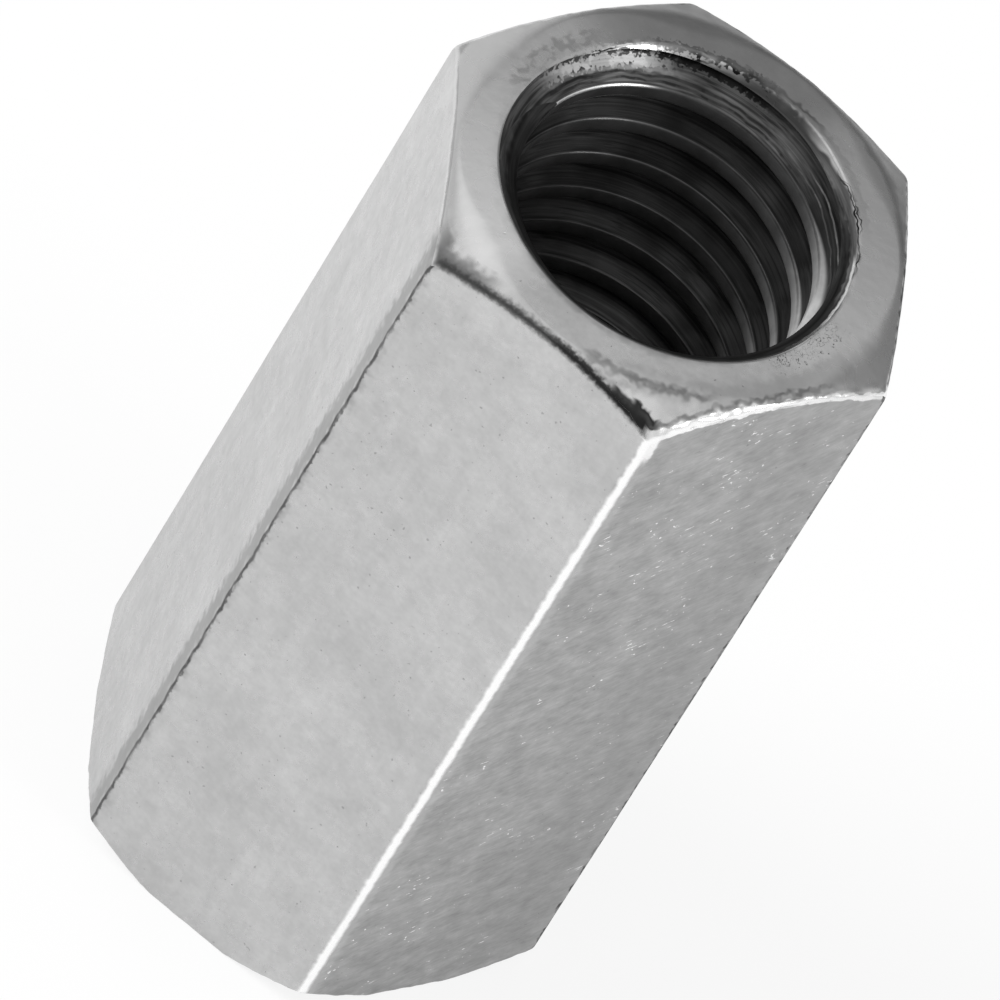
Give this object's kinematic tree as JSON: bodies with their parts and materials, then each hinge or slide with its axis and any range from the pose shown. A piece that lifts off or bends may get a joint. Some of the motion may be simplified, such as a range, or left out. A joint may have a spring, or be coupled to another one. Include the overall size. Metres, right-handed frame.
{
  "type": "coupling nut",
  "caption": "Long hexagon nut, chamfered at both ends and threaded right through, that joins studs or threaded rods end to end.",
  "frame": {"origin": "middle of the far end face, on which the nut stands, on the thread's axis", "axes": "+Z along the thread's axis towards the near end; two flats face +Y and -Y, two corners point along +X and -X"},
  "size_m": [0.0184, 0.0158, 0.0349],
  "materials": {
    "steel": "bright drawn steel with fine brush marks, small pits and burred edges"
  },
  "bodies": {
    "root": {"coupling_nut": "steel"}
  },
  "joints": []
}
